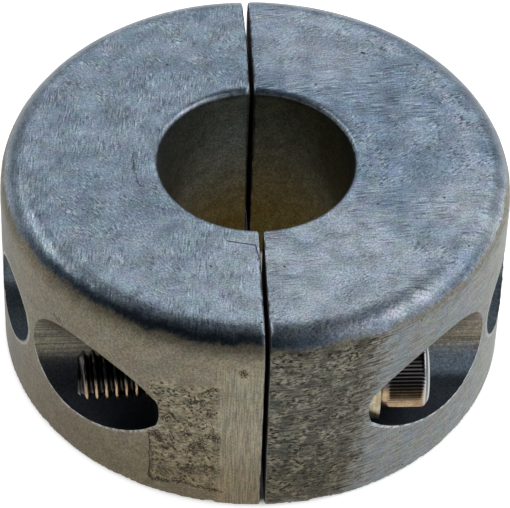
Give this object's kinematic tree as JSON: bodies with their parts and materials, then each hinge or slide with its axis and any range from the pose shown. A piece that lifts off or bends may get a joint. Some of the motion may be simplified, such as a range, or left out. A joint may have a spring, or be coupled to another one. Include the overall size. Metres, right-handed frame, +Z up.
{
  "type": "sacrificial anode",
  "caption": "Split cast collar anode that clamps round a propeller shaft with opposed socket-head screws and corrodes in place of the metal near it.",
  "frame": {"origin": "on the shaft axis at the bottom face", "axes": "+Z up along the shaft, towards the end with the rounded outer edge; +X across the split, into the half that holds the front screw's head; -Y front"},
  "size_m": [0.066, 0.066, 0.03],
  "materials": {
    "anode_casting": "dull cast zinc, scratched and tarnished",
    "screw_steel": "plain stainless steel",
    "washer_steel": "plain stainless spring steel"
  },
  "bodies": {
    "root": {"anode_half_left": "anode_casting", "anode_half_right": "anode_casting", "clamp_screw_front": "screw_steel", "clamp_screw_back": "screw_steel", "lock_washer_front": "washer_steel", "lock_washer_back": "washer_steel"}
  },
  "joints": []
}
